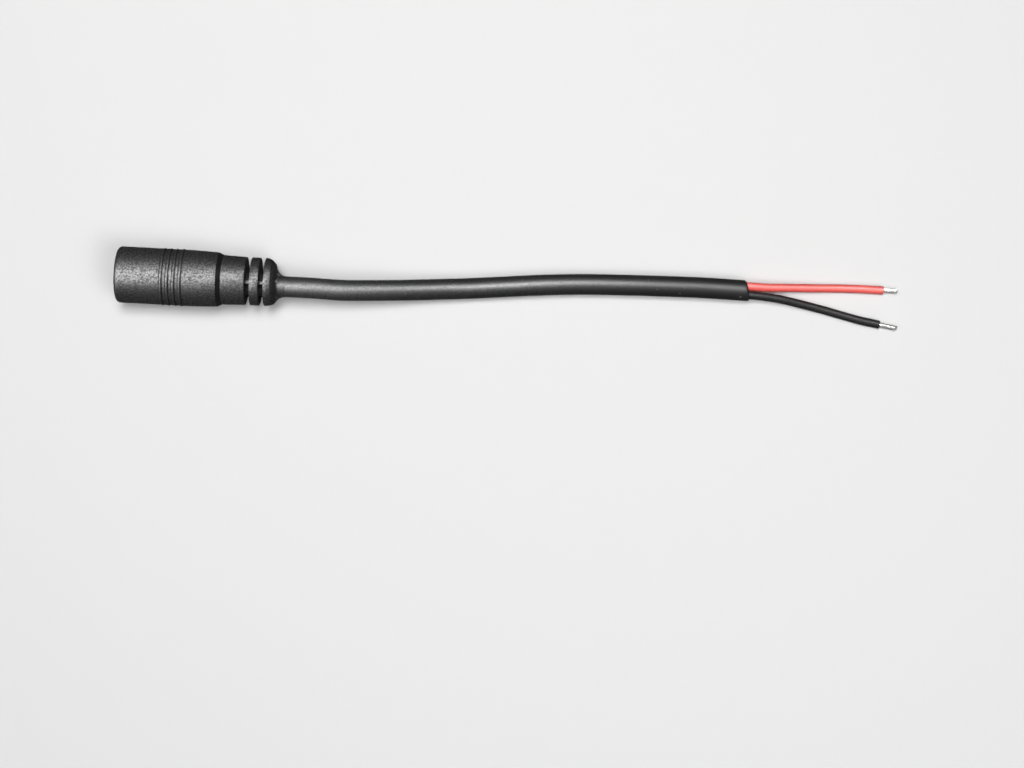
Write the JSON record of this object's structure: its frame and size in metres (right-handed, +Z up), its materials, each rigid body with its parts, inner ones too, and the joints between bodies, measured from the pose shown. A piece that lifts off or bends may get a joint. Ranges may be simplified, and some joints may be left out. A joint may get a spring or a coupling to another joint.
{
  "type": "pigtail connector",
  "caption": "In-line moulded power socket with grip rings and a slotted strain relief, on a short round cable that ends in stripped and tinned red and black leads.",
  "frame": {"origin": "on the socket's axis, in the plane of the mouth", "axes": "+X along the socket's axis from the mouth towards the cable, +Z up from the surface that it lies on"},
  "size_m": [0.1508, 0.0112, 0.011],
  "materials": {
    "body_pvc": "soft black moulding with a fine grain",
    "insert_plastic": "hard black moulding, satin",
    "plated_contact": "nickel-plated brass",
    "solder": "tin solder",
    "jacket_pvc": "satin black cable jacket",
    "red_pvc": "glossy red insulation",
    "black_pvc": "satin black insulation",
    "tinned_copper": "bright tin over stranded copper"
  },
  "bodies": {
    "root": {"overmould": "body_pvc", "jack_insulator": "insert_plastic", "centre_pin": "plated_contact", "pin_lug": "plated_contact", "sleeve_spring": "plated_contact", "pin_solder": "solder", "sleeve_solder": "solder", "cable_jacket": "jacket_pvc", "red_insulation": "red_pvc", "black_insulation": "black_pvc", "red_conductor": "tinned_copper", "black_conductor": "tinned_copper"}
  },
  "joints": []
}
